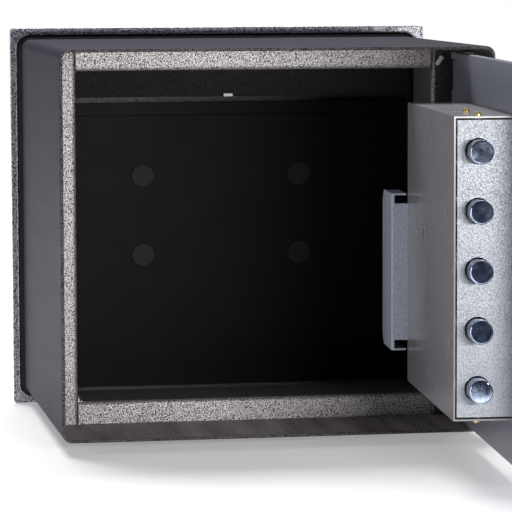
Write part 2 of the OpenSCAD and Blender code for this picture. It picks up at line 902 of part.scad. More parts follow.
module cam_disc() {
    color("#9a9ca3")
    on_door() {
        difference() {
            rod_n(spindle_u, cam_n0, cam_n0 + cam_t, spindle_z, 2 * cam_disc_r);
            rod_n(spindle_u, cam_n0 - cut, cam_n0 + cam_bore, spindle_z, spindle_d);
        }
        rod_n(spindle_u - cam_r * sin(swing), cam_n0 + cam_t, drive_pin_n1,
              spindle_z + cam_r * cos(swing), drive_pin_d);
    }
}

module turn_knob() {
    base_n = -door_t - collar_t - knob_gap;
    color("#2a2a2e")
    on_door() difference() {
        union() {
            rod_n(spindle_u, base_n - knob_base, base_n, spindle_z, knob_d);
            translate([plate_x1 - spindle_u, 0, spindle_z]) rotate([0, -swing, 0])
                push_y(plate_y + base_n - knob_base - knob_grip, plate_y + base_n - 1)
                    rounded_rect(grip_w, knob_d - 2 * grip_in, grip_r);
        }
        rod_n(spindle_u, -door_t - collar_t - knob_base, cut, spindle_z, spindle_d);
    }
}

// ---------------------------------------------------------------- emergency lock

module key_cylinder() {
    color("#c8c8cc")
    on_door() difference() {
        union() {
            rod_n(key_u, -door_t, lock_inner, spindle_z, lock_body_d);
            rod_n(key_u, -door_t - lock_flange_t, -door_t, spindle_z, lock_flange_d);
        }
        rod_n(key_u, -door_t - lock_flange_t - cut, lock_inner + cut, spindle_z, plug_d + 2 * spindle_fit);
    }
}

module key_plug() {
    color("#c9a03a")
    on_door() difference() {
        rod_n(key_u, -door_t - lock_flange_t, lock_inner + plug_tail, spindle_z, plug_d);
        slab(key_u - key_slot_w / 2, key_u + key_slot_w / 2, -door_t - lock_flange_t - cut,
             lock_inner - plug_tail, spindle_z - key_slot_below, spindle_z + key_slot_above);
    }
}

// ---------------------------------------------------------------- keypad

module keypad_housing() {
    front_n = -door_t - pad_t;
    color("#3c3d42")
    on_door() difference() {
        tile(pad_u, pad_z, pad_w, pad_h, pad_r, front_n, -door_t);
        tile(pad_u, window_z, window_w, window_h, 3, front_n - cut, front_n + window_t);
        for (i = [0:len(KEYS) - 1])
            tile(key_u_at(i), key_z_at(i), key_w + 2 * key_room, key_h + 2 * key_room,
                 key_r + key_room, front_n - cut, front_n + key_body + key_travel);
    }
}

module display_window() {
    front_n = -door_t - pad_t;
    color("#101418")
    on_door() tile(pad_u, window_z, window_w, window_h, 3, front_n, front_n + window_t);
}

module keypad_key(i) {
    front_n = -door_t - pad_t;
    color("#d9dade")
    on_door() tile(key_u_at(i), key_z_at(i), key_w, key_h, key_r,
                   front_n - key_proud, front_n + key_body - key_proud);
}

// ---------------------------------------------------------------- nodes

body_shell();
rear_plate();
rear_seal();
frame_lock_side();
frame_hinge_side();
frame_top();
frame_bottom();
header_panel();
interior_lamp();
rear_liner();
hole_covers();
floor_mat();
hinge_lug_upper();
hinge_lug_lower();
hinge_pins();
hinge_washer();
door_plate();
hinge_knuckle_upper();
hinge_knuckle_lower();
box_frame();
lock_face();
cover_pan();
cover_screws();
service_plug();
dead_bar();
bolt_guide();
control_board();
board_standoffs();
battery_tray();
batteries();
solenoid_body();
plunger_spring();
spindle_bush();
keypad_housing();
display_window();
key_cylinder();
bolt_carrier();
for (i = [0:BOLTS - 1])
    bolt(i);
carrier_nuts();
solenoid_plunger();
turn_knob();
drive_spindle();
cam_disc();
key_plug();
for (i = [0:len(KEYS) - 1])
    keypad_key(i);
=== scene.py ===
# %% [markdown]
# # An in-room safe, standing open
# The safe is a folded steel body with a door set deep in it. A box on the inside of the door holds
# five round bolts. The engineering model gives every piece its shape and place. This script gives
# the pieces their paint and plating, rounds the edges that a press or a grinder would round, and
# adds the small things that show how a safe is made: weld beads, sealant, legends, ribs and felt.

# %% Load the frame
import json
import math
import bmesh
import bpy
from mathutils import Matrix, Vector, noise

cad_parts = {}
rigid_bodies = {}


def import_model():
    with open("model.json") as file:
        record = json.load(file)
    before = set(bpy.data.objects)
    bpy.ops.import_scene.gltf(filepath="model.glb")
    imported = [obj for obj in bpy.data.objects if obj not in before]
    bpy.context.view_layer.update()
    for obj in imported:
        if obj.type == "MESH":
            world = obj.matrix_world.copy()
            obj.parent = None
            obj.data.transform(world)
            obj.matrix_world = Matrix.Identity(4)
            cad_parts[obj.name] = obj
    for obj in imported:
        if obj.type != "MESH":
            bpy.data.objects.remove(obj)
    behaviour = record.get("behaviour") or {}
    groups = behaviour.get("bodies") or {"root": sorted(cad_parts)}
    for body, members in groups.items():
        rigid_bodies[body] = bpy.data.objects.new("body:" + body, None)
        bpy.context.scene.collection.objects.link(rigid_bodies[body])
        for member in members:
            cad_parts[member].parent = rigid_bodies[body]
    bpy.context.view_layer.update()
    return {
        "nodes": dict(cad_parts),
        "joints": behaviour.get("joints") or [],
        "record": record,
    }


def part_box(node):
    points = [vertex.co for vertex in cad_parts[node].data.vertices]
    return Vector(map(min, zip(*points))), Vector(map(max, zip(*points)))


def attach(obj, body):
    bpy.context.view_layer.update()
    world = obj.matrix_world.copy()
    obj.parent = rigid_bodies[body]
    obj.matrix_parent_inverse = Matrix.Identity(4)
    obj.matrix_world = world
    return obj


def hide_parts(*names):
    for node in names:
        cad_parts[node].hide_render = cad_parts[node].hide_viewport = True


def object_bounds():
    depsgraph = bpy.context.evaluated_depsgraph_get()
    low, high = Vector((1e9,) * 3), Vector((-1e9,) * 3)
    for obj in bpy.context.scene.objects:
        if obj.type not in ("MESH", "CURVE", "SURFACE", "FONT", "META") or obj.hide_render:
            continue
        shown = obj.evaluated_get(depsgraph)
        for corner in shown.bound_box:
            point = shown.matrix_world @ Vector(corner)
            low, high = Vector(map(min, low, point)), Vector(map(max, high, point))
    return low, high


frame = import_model()
nodes = frame["nodes"]
record = frame["record"]
MM = 0.001

# %% [markdown]
# The door stands open at rest, so its pieces are turned. Two directions are read from the joints:
# the bolts slide along the door, and the keys travel into it. From the hinge and those two, any
# place on the door is given as a distance along, a distance into the safe, and a height.

# %% Directions of the door
joints = {joint["name"]: joint for joint in frame["joints"]}
ALONG = Vector(joints["bolt_slide"]["axis"]).normalized()
INTO = Vector(joints["press_0"]["axis"]).normalized()
UP = Vector((0, 0, 1))
HINGE = Vector(joints["door_hinge"]["pos_m"])


def on_door(along, into, height):
    """The place of a point on the door, with the door as it stands at rest."""
    return HINGE + ALONG * along + INTO * into + UP * height


def door_box(name):
    """A door piece's lowest and highest corner, measured along, into and up the door."""
    places = [v.co - HINGE for v in nodes[name].data.vertices]
    measured = [(p.dot(ALONG), p.dot(INTO), p.z) for p in places]
    return Vector(map(min, zip(*measured))), Vector(map(max, zip(*measured)))


plate_lo, plate_hi = door_box("door_plate")
print("door plate:", [round(v / MM, 1) for v in plate_hi - plate_lo], "mm along, through and up")

# %% [markdown]
# ## Camera
# A long lens from about three metres, a little to the left of the safe and a little above it. The
# camera aims past the middle, because the open door fills the right of the view.

# %% Camera
CAMERA_AT = Vector((-0.5047, -3.1353, 0.2606))
TURN_RIGHT, TILT_DOWN, ROLL = 9.823, 5.483, -0.183
LENS_MM, SENSOR_MM = 220.4, 36

camera_data = bpy.data.cameras.new("camera")
camera_data.lens = LENS_MM
camera_data.sensor_width = SENSOR_MM
camera_data.clip_end = 50
camera = bpy.data.objects.new("camera", camera_data)
bpy.context.scene.collection.objects.link(camera)
camera.matrix_world = (
    Matrix.Translation(CAMERA_AT)
    @ Matrix.Rotation(math.radians(-TURN_RIGHT), 4, "Z")
    @ Matrix.Rotation(math.radians(90 - TILT_DOWN), 4, "X")
    @ Matrix.Rotation(math.radians(ROLL), 4, "Z")
)
bpy.context.scene.camera = camera
print("camera at", [round(v, 3) for v in CAMERA_AT])

# %% [markdown]
# ## Node graphs as formulas
# Blender keeps both materials and geometry rules as webs of nodes. They are easier to read as
# formulas. `Value` wraps one socket, and its operators add the Math nodes. `Graph` makes every
# other kind of node from its type, its settings and its inputs.


# %% Values
class Value:
    """A number, colour or vector that one node hands to the next."""

    def __init__(self, graph, socket):
        self.graph = graph
        self.socket = socket

    def math(self, operation, a, b=0.0, clamp=False):
        settings = {"operation": operation, "use_clamp": clamp}
        return self.graph.node("ShaderNodeMath", settings, {0: a, 1: b})

    def __add__(self, other):
        return self.math("ADD", self, other)

    def __radd__(self, other):
        return self.math("ADD", other, self)

    def __sub__(self, other):
        return self.math("SUBTRACT", self, other)

    def __rsub__(self, other):
        return self.math("SUBTRACT", other, self)

    def __mul__(self, other):
        return self.math("MULTIPLY", self, other)

    def __rmul__(self, other):
        return self.math("MULTIPLY", other, self)

    def __abs__(self):
        return self.math("ABSOLUTE", self)

    def step(self, low, high):
        """0 below low, 1 above high, and a straight slope between."""
        return self.math("MULTIPLY", self - low, 1.0 / (high - low), clamp=True)


# %% Graphs
class Graph:
    """A node tree that is filled by calls instead of by hand."""

    def __init__(self, tree):
        self.tree = tree

    def node(self, kind, settings, inputs, out=0):
        made = self.tree.nodes.new(kind)
        for key, value in settings.items():
            setattr(made, key, value)
        for key, value in inputs.items():
            self.feed(self.socket(made, key), value)
        return Value(self, made.outputs[out])

    def socket(self, made, key):
        if isinstance(key, int):
            return made.inputs[key]
        return next(s for s in made.inputs if key in (s.identifier, s.name))

    def feed(self, socket, value):
        if isinstance(value, Value):
            self.tree.links.new(value.socket, socket)
        else:
            socket.default_value = value


class Finish(Graph):
    """One material with a Principled shader. Patterns are laid out in the safe's own frame."""

    def __init__(self, name):
        self.material = bpy.data.materials.new(name)
        self.material.use_nodes = True
        super().__init__(self.material.node_tree)
        self.shader = self.tree.nodes["Principled BSDF"]
        self.place = self.node("ShaderNodeTexCoord", {}, {}, "Object")

    def axes(self):
        split = self.tree.nodes.new("ShaderNodeSeparateXYZ")
        self.tree.links.new(self.place.socket, split.inputs[0])
        return [Value(self, socket) for socket in split.outputs]

    def noise(self, scale, detail=3.0, rough=0.5, place=None):
        inputs = {"Vector": place or self.place, "Scale": scale, "Detail": detail, "Roughness": rough}
        return self.node("ShaderNodeTexNoise", {}, inputs, "Fac")

    def cells(self, scale, feature="F1", place=None):
        inputs = {"Vector": place or self.place, "Scale": scale}
        return self.node("ShaderNodeTexVoronoi", {"feature": feature}, inputs, "Distance")

    def stretch(self, scale, turn=(0, 0, 0)):
        inputs = {"Vector": self.place, "Scale": scale, "Rotation": turn}
        return self.node("ShaderNodeMapping", {}, inputs)

    def mix(self, factor, a, b):
        inputs = {"Factor_Float": factor, "A_Color": self.rgba(a), "B_Color": self.rgba(b)}
        return self.node("ShaderNodeMix", {"data_type": "RGBA"}, inputs, 2)

    def rgba(self, colour):
        return colour if isinstance(colour, Value) else (*colour, 1)

    def bump(self, height, distance, strength=1.0):
        inputs = {"Height": height, "Distance": distance, "Strength": strength}
        return self.node("ShaderNodeBump", {}, inputs)

    def set(self, **sockets):
        for name, value in sockets.items():
            key = name.replace("_", " ").title().replace("Ior", "IOR")
            if isinstance(value, tuple) and len(value) == 3:
                value = (*value, 1)
            self.feed(self.socket(self.shader, key), value)
        return self.material


def tone(colour, factor):
    return tuple(min(1.0, channel * factor) for channel in colour)


# %% [markdown]
# ## Paint
# Most of the safe is powder coated. Smooth powder is satin, with a faint orange peel. Hammered
# powder holds metal flake. As it melts it pulls into a fine leather of shallow bumps, with darker
# creases between them. Each bump catches the light in its own way.


# %% Smooth powder coat
def smooth_paint(name, colour, rough=0.42, coat=0.0, mottle=0.06, peel=0.2, gloss=0.5):
    f = Finish(name)
    cloud = f.noise(7, 2)
    wipe = f.noise(34, 3)
    return f.set(
        base_color=f.mix(cloud, tone(colour, 1 - mottle), tone(colour, 1 + mottle)),
        roughness=rough - 0.05 + 0.1 * wipe,
        coat_weight=coat,
        coat_roughness=0.12,
        specular_ior_level=gloss,
        normal=f.bump(f.noise(500, 1), 0.04 * MM, peel),
    )


# %% Hammered powder coat
def hammer_relief(f, size):
    """Height and crease of hammered paint, for bumps of a size in millimetres."""
    per_metre = 1 / (size * MM)
    bumps = f.cells(per_metre, "F1", f.stretch((1, 1, 0.85), (0.2, 0.3, 0.4)))
    fine = f.noise(per_metre * 1.3, 1, 0.5)
    rough_ground = bumps * 0.75 + fine * 0.55
    return 1.2 - rough_ground, rough_ground.step(0.4, 0.9)


def hammered_paint(name, tops, creases, size=1.35, depth=0.3, rough=0.36, metal=0.6, gloss=0.5):
    f = Finish(name)
    height, crease = hammer_relief(f, size)
    return f.set(
        base_color=f.mix(crease, tops, creases),
        roughness=rough + 0.12 * crease,
        metallic=metal,
        specular_ior_level=gloss,
        normal=f.bump(height, depth * MM, 1.0),
    )


def frame_paint(name, silver, creases):
    """Silver on three strips, the hinge-side one darkened to a painted shadow of the open door, and painted
    shade as dark as the inside on the returns.
    """
    f = Finish(name)
    height, crease = hammer_relief(f, 1.15)
    x, y, _ = f.axes()
    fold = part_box("frame_top")[0].y + 3 * MM
    # Painted shade: past the fold, the returns and the sill get back, a darker copy of the same paint,
    # standing in for the shadow they lie in.
    return_shade = (y - fold).step(0, 3 * MM)
    # Painted shadow: the hinge-side strip is darkened where the open door shades it.
    door_shadow = (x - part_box("frame_hinge_side")[0].x).step(0, 4 * MM)
    face = f.mix(crease, silver, creases)
    back = f.mix(crease, tone(silver, 0.4), tone(creases, 0.8))
    door_shadow_face = f.mix(0.12, (0, 0, 0), face)
    return f.set(
        base_color=f.mix(return_shade, f.mix(door_shadow, face, door_shadow_face), back),
        roughness=0.36 + 0.12 * crease,
        metallic=0.6 - 0.3 * return_shade,
        normal=f.bump(height, 0.42 * MM, 1.0),
    )


# %% [markdown]
# The body sheet is one piece with three faces to it. Outside it is smooth purple-grey. Its front
# lip is hammered like the door frame. Inside the recess the coat is thin and brown, with streaks
# that are partly from the dip and partly a painted reflection of the frame's strips, and behind the
# frame it is nearly black. The rear plate is silver outside, with a stronger speckle on its front
# flange than on its back, and it is nearly black inside the safe. Masks on the safe's own axes tell
# the zones apart.

# %% Body sheet
body_lo, body_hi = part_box("body_shell")
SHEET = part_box("frame_lock_side")[0].x - body_lo.x
FRONT = body_lo.y
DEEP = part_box("frame_lock_side")[1].y


def inside_mask(f):
    x, y, z = f.axes()
    edge = 0.2 * MM
    in_width = (body_hi.x - SHEET + edge - abs(x)).step(0, edge)
    in_height = (body_hi.z - SHEET + edge - abs(z)).step(0, edge)
    return in_width * in_height, y


def body_paint(name):
    f = Finish(name)
    inside, y = inside_mask(f)
    deep = (y - DEEP).step(0, MM)
    lip = (FRONT + 0.6 * MM - y).step(0, 0.2 * MM)
    cloud = f.noise(6, 2)
    dip_streak_and_reflection = f.noise(1, 3, 0.6, f.stretch((60, 4, 60)))
    height, crease = hammer_relief(f, 2.0)
    outer = f.mix(cloud, (0.037, 0.031, 0.043), (0.046, 0.039, 0.054))
    # The streaks are partly from the dip and partly a painted reflection of the frame's strips.
    dipped = f.mix(dip_streak_and_reflection.step(0.3, 0.7), (0.17, 0.145, 0.135), (0.45, 0.39, 0.365))
    inner = f.mix(deep, dipped, (0.008, 0.008, 0.01))
    coat = f.mix(inside, outer, inner)
    grain = f.noise(900, 2) * 0.08 + height * lip * 0.7
    return f.set(
        base_color=f.mix(lip, coat, f.mix(crease, (0.13, 0.12, 0.125), (0.03, 0.027, 0.03))),
        roughness=0.5 + 0.1 * dip_streak_and_reflection - inside * 0.1,
        metallic=lip * 0.6,
        specular_ior_level=0.06,
        normal=f.bump(grain, 0.3 * MM, 1.0),
    )


def anchor_paint(name):
    f = Finish(name)
    inside, y = inside_mask(f)
    height, crease = hammer_relief(f, 1.5)
    flange = (-0.5 * MM - y).step(0, 0.2 * MM)
    calm = f.mix(crease, (0.3, 0.29, 0.31), (0.15, 0.144, 0.155))
    silver = f.mix(flange, calm, f.mix(crease, (0.85, 0.82, 0.88), (0.07, 0.064, 0.077)))
    return f.set(
        base_color=f.mix(inside * flange, silver, (0.008, 0.008, 0.01)),
        roughness=0.32 + 0.14 * crease,
        metallic=0.75 - 0.75 * (inside * flange),
        normal=f.bump(height, 0.35 * MM, 1.0),
    )


# %% [markdown]
# ## Metal
# The bolts are polished and chromed, so they are nearly a mirror with a breath of haze from
# fingers. Their colour also carries painted reflection: a blue tint and cloudy darker patches stand
# in for the dim room the chrome mirrors, and the brass and nickel get fainter patches of the same
# kind. Small working parts are zinc plated, which is duller and has a grain. Brass and nickel parts
# were turned on a lathe and sit between the two.


# %% Plated and polished metal
def polished_metal(name, colour, reflection_shade=0.9, rough=0.06, scuff=0.12):
    f = Finish(name)
    haze_and_reflection = f.noise(140, 4, 0.6)
    smudge = f.noise(75, 3, 0.6).step(0.44, 0.66)
    return f.set(
        # Painted reflection: cloudy patches darken the colour, most strongly on the chrome.
        base_color=f.mix(haze_and_reflection.step(0.35, 0.65), tone(colour, reflection_shade), colour),
        roughness=rough + scuff * (haze_and_reflection + smudge),
        metallic=1.0,
        normal=f.bump(haze_and_reflection, 0.02 * MM, 0.12),
    )


def plated_steel(name, colour, rough=0.3):
    f = Finish(name)
    grain = f.noise(1, 4, 0.6, f.stretch((900, 900, 60)))
    return f.set(
        base_color=f.mix(f.noise(26, 3), tone(colour, 0.8), colour),
        roughness=rough + 0.2 * grain,
        metallic=1.0,
        normal=f.bump(grain, 0.02 * MM, 0.4),
    )


# %% [markdown]
# ## Plastic, sealant and felt
# Moulded plastic has the fine pebble of its tool. Sealant is smeared on with a finger, so it is
# lumpy and its gloss wanders, and its near-black colour is partly painted shade for the deep joint
# it fills. Felt is rough and dark, with fibres that lie in all directions.


# %% Plastic, sealant and the small finishes
def moulded_plastic(name, colour, rough=0.5, grain=0.3):
    f = Finish(name)
    cloud = f.noise(20, 2)
    return f.set(
        base_color=f.mix(cloud, tone(colour, 0.88), tone(colour, 1.08)),
        roughness=rough + 0.12 * cloud,
        specular_ior_level=0.3,
        normal=f.bump(f.cells(1 / (grain * MM), "SMOOTH_F1"), 0.03 * MM, 0.5),
    )


def sealant(name):
    f = Finish(name)
    smear = f.noise(60, 4, 0.6)
    return f.set(
        # Painted shade: the near-black colour also stands in for the shadow deep in the joint at the back.
        base_color=f.mix(smear, (0.003, 0.003, 0.004), (0.008, 0.007, 0.009)),
        roughness=0.5 + 0.25 * smear,
        specular_ior_level=0.2,
        normal=f.bump(f.noise(300, 3), 0.3 * MM, 0.6),
    )


def weld_metal(name):
    f = Finish(name)
    scale = f.noise(700, 4, 0.65)
    return f.set(
        base_color=f.mix(scale, (0.1, 0.075, 0.06), (0.34, 0.29, 0.26)),
        roughness=0.4 + 0.2 * scale,
        metallic=0.6,
        normal=f.bump(scale, 0.15 * MM, 0.7),
    )


def felt(name):
    f = Finish(name)
    nap = f.noise(900, 4, 0.7)
    lay = f.noise(1, 4, 0.7, f.stretch((200, 900, 200)))
    return f.set(
        base_color=f.mix(nap * lay, (0.01, 0.01, 0.012), (0.045, 0.045, 0.05)),
        roughness=0.95,
        sheen_weight=0.3,
        normal=f.bump(nap + lay, 0.5 * MM, 0.7),
    )


def circuit_board(name):
    f = Finish(name)
    tracks = f.cells(420)
    copper = tracks.step(0.42, 0.5)
    return f.set(
        base_color=f.mix(copper, (0.02, 0.14, 0.05), (0.05, 0.25, 0.1)),
        roughness=0.35 + 0.1 * tracks,
        normal=f.bump(copper, 0.03 * MM, 0.5),
    )


def lit_lens(name):
    f = Finish(name)
    cloud = f.noise(300, 2)
    return f.set(
        base_color=f.mix(cloud, (0.5, 0.5, 0.48), (0.6, 0.6, 0.58)),
        roughness=0.3 + 0.1 * cloud,
    )


def smoked_window(name):
    f = Finish(name)
    smudge = f.noise(45, 4, 0.6)
    return f.set(
        base_color=f.mix(smudge, (0.006, 0.007, 0.009), (0.014, 0.016, 0.02)),
        roughness=0.07 + 0.14 * smudge,
        coat_weight=0.6,
        coat_roughness=0.05,
    )


# %% [markdown]
# ## Which finish goes where
# The record names a finish for each piece. Here each of those names gets its recipe, and every
# piece is given the finish that the record asks for.

# %% Finishes by name
FINISHES = {
    "body_paint": body_paint("body_paint"),
    "anchor_paint": anchor_paint("anchor_paint"),
    "seal_rubber": sealant("seal_rubber"),
    "frame_hammer": frame_paint("frame_hammer", (0.84, 0.783, 0.777), (0.08, 0.073, 0.075)),
    "header_hammer": hammered_paint(
        "header_hammer", (0.011, 0.011, 0.016), (0.003, 0.003, 0.004),
        size=1.7, depth=0.3, rough=0.5, metal=0, gloss=0.12),
    "liner_paint": smooth_paint("liner_paint", (0.009, 0.009, 0.013), 0.5, gloss=0.1),
    "lamp_white": lit_lens("lamp_white"),
    "mat_felt": felt("mat_felt"),
    "door_paint": smooth_paint("door_paint", (0.195, 0.203, 0.24), 0.36, peel=0.1),
    "pan_gloss": smooth_paint("pan_gloss", (0.26, 0.25, 0.268), 0.26, coat=0.3, peel=0.005),
    "box_steel": smooth_paint("box_steel", (0.03, 0.032, 0.038), 0.45),
    "lock_hammer": hammered_paint(
        "lock_hammer", (0.34, 0.352, 0.38), (0.26, 0.27, 0.295), size=1.5, depth=0.14, rough=0.42),
    "bar_hammer": hammered_paint(
        "bar_hammer", (0.68, 0.72, 0.83), (0.46, 0.5, 0.6), size=1.2, depth=0.16, metal=0.2),
    # Painted reflection: the chrome is tinted blue and patched darker for the dim blue room it mirrors.
    "bolt_chrome": polished_metal(
        "bolt_chrome", (0.54, 0.64, 0.84), reflection_shade=0.45, rough=0.03, scuff=0.035),
    "zinc_steel": plated_steel("zinc_steel", (0.6, 0.61, 0.64)),
    "brass_parts": polished_metal("brass_parts", (0.83, 0.62, 0.26), rough=0.2, scuff=0.2),
    "lock_nickel": polished_metal("lock_nickel", (0.7, 0.68, 0.64), rough=0.22, scuff=0.2),
    "knob_plastic": moulded_plastic("knob_plastic", (0.02, 0.02, 0.022), 0.4),
    "pad_plastic": moulded_plastic("pad_plastic", (0.012, 0.0122, 0.0145), 0.5),
    "key_plastic": moulded_plastic("key_plastic", (0.55, 0.56, 0.58), 0.42),
    "window_gloss": smoked_window("window_gloss"),
    "board_green": circuit_board("board_green"),
    "cell_wrap": smooth_paint("cell_wrap", (0.05, 0.055, 0.07), 0.3),
}
slot_of = {part["node"]: part["material_slot"] for part in record["subparts"]}
body_of = {name: body for body, names in record["behaviour"]["bodies"].items() for name in names}
for name, node in nodes.items():
    node.data.materials.clear()
    node.data.materials.append(FINISHES[slot_of[name]])
print("finishes:", len(FINISHES))

# %% [markdown]
# ## Softened edges
# The engineering model has knife edges, but folded sheet, cast plastic and ground steel never do.
# A light runs along every real edge. So each piece that shows an edge is copied, its triangles are
# merged back into flat faces, and its sharp edges get a small bevel. The copy stands for the
# original. Where two faces still meet at more than SHARP_ABOVE degrees, the edge between them is
# drawn crisp.


# %% Soften the edges of a piece
SHARP_ABOVE = 14


def plain_mesh(piece):
    """Turns what the modifiers make into the piece's own mesh."""
    ready = bpy.data.meshes.new_from_object(piece.evaluated_get(bpy.context.evaluated_depsgraph_get()))
    piece.modifiers.clear()
    piece.data = ready
    return piece


def add_piece(name, mesh, finish, body):
    piece = bpy.data.objects.new(name, mesh)
    bpy.context.scene.collection.objects.link(piece)
    mesh.materials.clear()
    mesh.materials.append(finish)
    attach(piece, body)
    return piece


def softened(name, radius, segments=2, sharp=35):
    mesh = nodes[name].data.copy()
    work = bmesh.new()
    work.from_mesh(mesh)
    bmesh.ops.remove_doubles(work, verts=work.verts, dist=0.005 * MM)
    bmesh.ops.dissolve_limit(
        work, angle_limit=math.radians(0.5), verts=work.verts, edges=work.edges, delimit={"NORMAL"}
    )
    work.to_mesh(mesh)
    work.free()
    piece = bpy.data.objects.new("soft_" + name, mesh)
    bpy.context.scene.collection.objects.link(piece)
    bevel = piece.modifiers.new("edges", "BEVEL")
    bevel.width = radius * MM
    bevel.segments = segments
    bevel.limit_method = "ANGLE"
    bevel.angle_limit = math.radians(sharp)
    bevel.use_clamp_overlap = True
    plain_mesh(piece)
    piece.data.shade_smooth()
    piece.data.set_sharp_from_angle(angle=math.radians(SHARP_ABOVE))
    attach(piece, body_of[name])
    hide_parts(name)
    return piece


# %% Pieces and how far each edge is rounded, in millimetres
EDGE_RADIUS = {
    "body_shell": 0.8, "rear_plate": 0.8,
    "frame_lock_side": 0.7, "frame_hinge_side": 0.7, "frame_top": 0.7, "frame_bottom": 0.7,
    "header_panel": 0.4, "rear_liner": 0.5, "interior_lamp": 0.5, "hole_covers": 0.4,
    "door_plate": 0.9, "cover_pan": 0.6, "lock_face": 0.5, "dead_bar": 0.9, "service_plug": 0.35,
    "hinge_lug_upper": 0.6, "hinge_lug_lower": 0.6,
    "hinge_knuckle_upper": 0.5, "hinge_knuckle_lower": 0.5,
    "keypad_housing": 1.2, "display_window": 0.4, "spindle_bush": 0.6, "key_cylinder": 0.5,
    "key_plug": 0.3,
}
EDGE_RADIUS.update({f"bolt_{i + 1}": 0.3 for i in range(5)})
keys = [name for name in nodes if slot_of[name] == "key_plastic"]
EDGE_RADIUS.update({name: 0.7 for name in keys})
for name, radius in EDGE_RADIUS.items():
    softened(name, radius)
print("softened", len(EDGE_RADIUS), "pieces")

# %% [markdown]
# ## Sealant round the back
# The body is welded to the rear plate and the joint is sealed by hand. A swept line of one profile
# would look machined, so the section is carried round the body in short steps and its two feet
# wander a little. The wander is smooth noise, which repeats exactly on every run.


# %% Sweep a section along a closed path
def closed_sweep(stations):
    """Joins equal rings of points, the last to the first, into one closed tube."""
    work = bmesh.new()
    rings = [[work.verts.new(point) for point in ring] for ring in stations]
    for ring, following in zip(rings, rings[1:] + rings[:1]):
        for k in range(len(ring)):
            after = (k + 1) % len(ring)
            work.faces.new((ring[k], ring[after], following[after], following[k]))
    bmesh.ops.recalc_face_normals(work, faces=work.faces)
    mesh = bpy.data.meshes.new("sweep")
    work.to_mesh(mesh)
    work.free()
    mesh.shade_smooth()
    return mesh


CORNER = 9 * MM


def round_the_body(spacing):
    """Points and outward directions round the body's outline, at its rounded corners too."""
    radius = CORNER
    half_x, half_z = body_hi.x - radius, body_hi.z - radius
    corners = [(half_x, half_z, 0), (-half_x, half_z, 90),
               (-half_x, -half_z, 180), (half_x, -half_z, 270)]
    trail = []
    for index, (cx, cz, start) in enumerate(corners):
        turn = [math.radians(start + 90 * k / 8) for k in range(9)]
        arc = [(Vector((cx + radius * math.cos(a), 0, cz + radius * math.sin(a))),
                Vector((math.cos(a), 0, math.sin(a)))) for a in turn]
        nx, nz, _ = corners[(index + 1) % 4]
        direction = arc[-1][1]
        goal = Vector((nx, 0, nz)) + direction * radius
        count = int((goal - arc[-1][0]).length / spacing)
        run = [(arc[-1][0].lerp(goal, k / count), direction) for k in range(1, count)]
        trail += arc + run
    return trail


# %% Sealant bead
plate_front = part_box("rear_plate")[0].y
SEAL_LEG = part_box("rear_seal")[1].x - body_hi.x
FOOT, CLIMB = SEAL_LEG * 0.88, SEAL_LEG * 0.86
SUNK, FEATHER = 0.2 * MM, 0.25 * MM


def wander(place, scale, amount):
    return amount * noise.noise(place * scale)


def seal_ring(point, outward):
    foot = FOOT + wander(point, 130, 0.45 * MM)
    climb = CLIMB + wander(point + Vector((0, 1, 0)), 90, 0.5 * MM)
    hollow = 0.32 + wander(point + Vector((0, 2, 0)), 200, 0.05)
    section = [(-SUNK, -SUNK), (foot, -SUNK), (foot, FEATHER)]
    for k in range(1, 5):
        t = k / 5
        sag = 1 - 4 * hollow * t * (1 - t) * 0.6
        section.append((foot * (1 - t) * sag, climb * t * sag + FEATHER * (1 - t)))
    section.append((-SUNK, climb))
    return [point + outward * out + Vector((0, plate_front - forward, 0)) for out, forward in section]


trail = round_the_body(3 * MM)
seal = add_piece("sealant_bead", closed_sweep([seal_ring(p, o) for p, o in trail]),
                 FINISHES["seal_rubber"], "body")
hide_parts("rear_seal")
print("sealant in", len(trail), "steps, leg", round(SEAL_LEG / MM, 1), "mm")

# %% [markdown]
# Where the sealant ends, the paint has built up in a thin bright ridge. It is a low round section
# on the same path, just outside the sealant's foot.


# %% Paint ridge
RIDGE_GAP, RIDGE_SIZE, RIDGE_SIDES = 0.6 * MM, 0.75 * MM, 6


def ridge_ring(point, outward):
    middle = FOOT + RIDGE_GAP + wander(point, 130, 0.45 * MM)
    size = RIDGE_SIZE + wander(point + Vector((0, 3, 0)), 260, 0.35 * MM)
    ring = []
    for k in range(RIDGE_SIDES):
        a = math.radians(360 * k / RIDGE_SIDES)
        out, forward = middle + size * math.cos(a), size * math.sin(a)
        ring.append(point + outward * out + Vector((0, plate_front - forward, 0)))
    return ring


ridge = add_piece("paint_ridge", closed_sweep([ridge_ring(p, o) for p, o in trail]),
                  FINISHES["anchor_paint"], "body")
print("ridge:", len(ridge.data.polygons), "faces")

# %% [markdown]
# ## Rules for what repeats
# Geometry Nodes lay out the weld drops, the grip ribs and the felt fibres. `Rule` starts such a
# group from its named inputs. It ends each one the same way: the copies become real geometry, and
# the finish is set on them.


